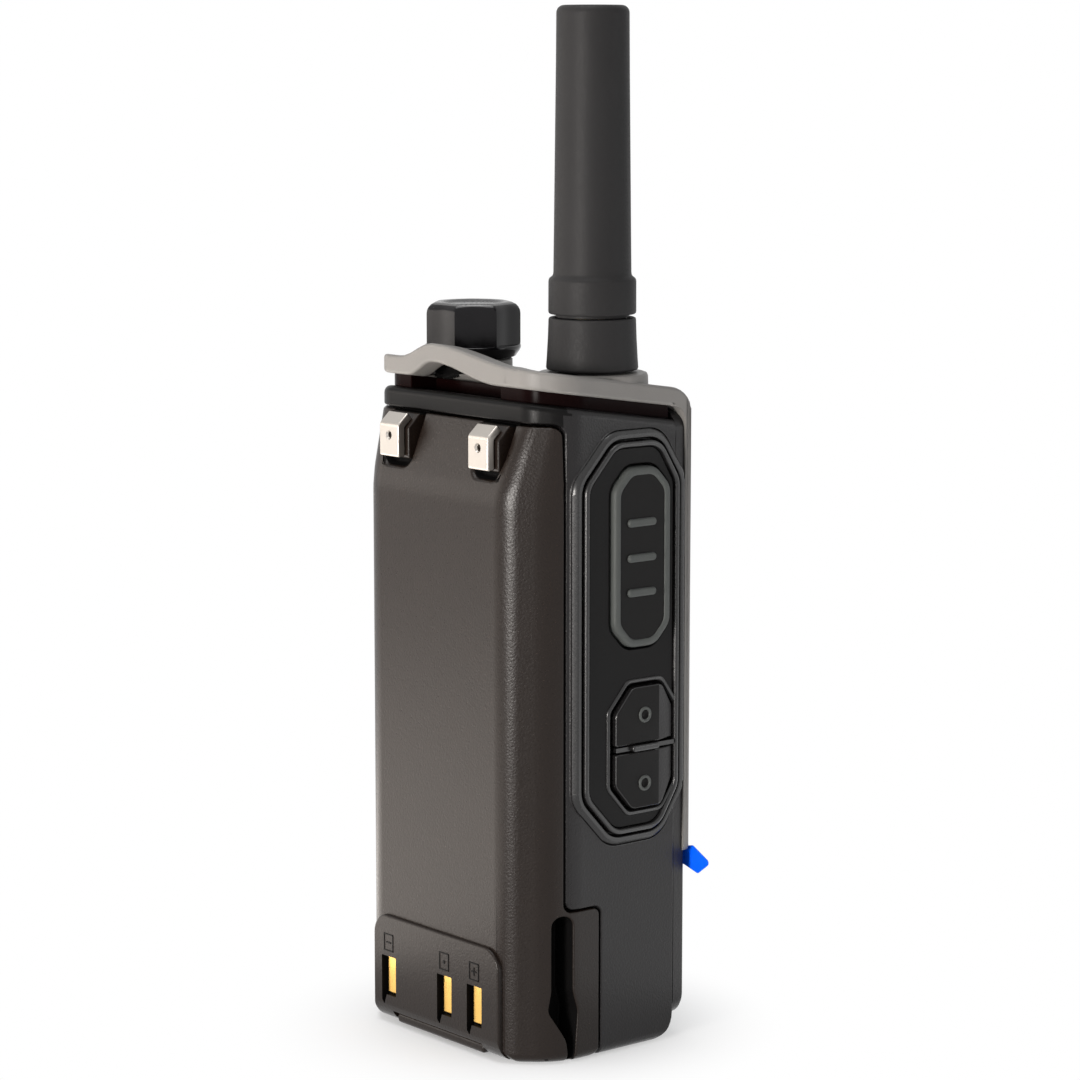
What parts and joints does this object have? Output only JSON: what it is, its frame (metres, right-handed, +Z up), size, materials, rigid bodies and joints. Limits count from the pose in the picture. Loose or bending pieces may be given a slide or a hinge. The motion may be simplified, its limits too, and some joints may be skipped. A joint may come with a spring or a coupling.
{
  "type": "portable two-way radio",
  "caption": "Hand-held radio with a black body, grey top with a lanyard arch, stub antenna, fluted knob, side talk button and keys, and a swing-out battery.",
  "frame": {"origin": "on the bottom face, midway across the body and on the plane between front and battery halves", "axes": "+Z up along the antenna, -Y out of the front, +Y out of the battery, -X out of the push-to-talk side"},
  "size_m": [0.0601, 0.0408, 0.1915],
  "materials": {
    "black_case": "matt",
    "battery_black": "fine grain",
    "grey_trim": "satin",
    "smoked_strip": "gloss, smoked",
    "black_rubber": "matt",
    "gloss_black": "gloss",
    "antenna_black": "satin",
    "steel": "brushed",
    "brass": "turned",
    "gold": "gilt",
    "cast_alloy": "cast",
    "circuit_board": "lacquered",
    "window_glass": "gloss",
    "blue_film": "gloss film",
    "cell_wrap": "shrink wrap",
    "speaker_paper": "matt"
  },
  "bodies": {
    "radio": {"rear_housing": "black_case", "front_cover": "black_case", "side_bezel": "black_case", "top_cover": "grey_trim", "light_bar": "smoked_strip", "main_seal": "black_rubber", "accessory_jack": "black_rubber", "contact_block": "black_rubber", "display_module": "gloss_black", "antenna_boss": "antenna_black", "microphone": "steel", "ptt_switch": "steel", "upper_switch": "steel", "lower_switch": "steel", "volume_pot": "steel", "rf_shield": "steel", "housing_screw_1": "steel", "housing_screw_2": "steel", "housing_screw_3": "steel", "housing_screw_4": "steel", "pot_nut": "brass", "antenna_socket": "brass", "chassis": "cast_alloy", "speaker_frame": "cast_alloy", "side_board": "circuit_board", "main_board": "circuit_board", "display_window": "window_glass", "screen_film": "blue_film", "speaker_cone": "speaker_paper"},
    "battery": {"battery_case": "battery_black", "battery_inner_cover": "battery_black", "battery_cell": "cell_wrap", "battery_board": "circuit_board", "charge_contact_1": "gold", "charge_contact_2": "gold", "charge_contact_3": "gold", "belt_clip_plate_left": "steel", "belt_clip_plate_right": "steel", "latch_spring": "steel"},
    "latch": {"battery_latch": "battery_black"},
    "ptt": {"ptt_button": "black_rubber"},
    "upper_key": {"upper_side_key": "black_rubber"},
    "lower_key": {"lower_side_key": "black_rubber"},
    "left_key": {"front_key_left": "black_rubber"},
    "middle_key": {"front_key_middle": "black_rubber"},
    "right_key": {"front_key_right": "black_rubber"},
    "knob": {"volume_knob": "gloss_black", "pot_shaft": "steel"},
    "antenna_ring": {"antenna_seal": "black_rubber"},
    "antenna": {"antenna_stud": "brass", "antenna_sleeve": "antenna_black"},
    "socket_cover": {"jack_cover": "black_rubber"}
  },
  "joints": [
    {"name": "ptt_press", "type": "slide", "parent": "radio", "child": "ptt", "axis": [1, 0, 0], "range_m": [0, 0.001], "stiffness_N_per_m": 3000},
    {"name": "upper_key_press", "type": "slide", "parent": "radio", "child": "upper_key", "axis": [1, 0, 0], "range_m": [0, 0.0007], "stiffness_N_per_m": 2500},
    {"name": "lower_key_press", "type": "slide", "parent": "radio", "child": "lower_key", "axis": [1, 0, 0], "range_m": [0, 0.0007], "stiffness_N_per_m": 2500},
    {"name": "left_key_press", "type": "slide", "parent": "radio", "child": "left_key", "axis": [0, 1, 0], "range_m": [0, 0.0006], "stiffness_N_per_m": 2500},
    {"name": "middle_key_press", "type": "slide", "parent": "radio", "child": "middle_key", "axis": [0, 1, 0], "range_m": [0, 0.0006], "stiffness_N_per_m": 2500},
    {"name": "right_key_press", "type": "slide", "parent": "radio", "child": "right_key", "axis": [0, 1, 0], "range_m": [0, 0.0006], "stiffness_N_per_m": 2500},
    {"name": "volume_turn", "type": "hinge", "parent": "radio", "child": "knob", "pos_m": [0.016, -0.0024, 0.1318], "axis": [0, 0, -1], "range_deg": [0, 290]},
    {"name": "antenna_lift", "type": "slide", "parent": "radio", "child": "antenna_ring", "axis": [0, 0, 1], "range_m": [0, 0.003]},
    {"name": "antenna_turn", "type": "hinge", "parent": "antenna_ring", "child": "antenna", "pos_m": [-0.0165, -0.0045, 0.1357], "axis": [0, 0, 1], "range_deg": [0, 1440]},
    {"name": "battery_swing", "type": "hinge", "parent": "radio", "child": "battery", "pos_m": [0, 0.01475, 0.11715], "axis": [1, 0, 0], "range_deg": [0, 35]},
    {"name": "latch_slide", "type": "slide", "parent": "battery", "child": "latch", "axis": [0, -1, 0], "range_m": [0, 0.002], "stiffness_N_per_m": 800, "deforming": ["latch_spring"]},
    {"name": "socket_cover_swing", "type": "hinge", "parent": "radio", "child": "socket_cover", "pos_m": [0.0283, -0.008, 0.084], "axis": [0, 0, -1], "range_deg": [0, 100]}
  ],
  "couplings": [
    {"joint": "antenna_lift", "follows": "antenna_turn", "m_per_rad": 0.00011937}
  ]
}
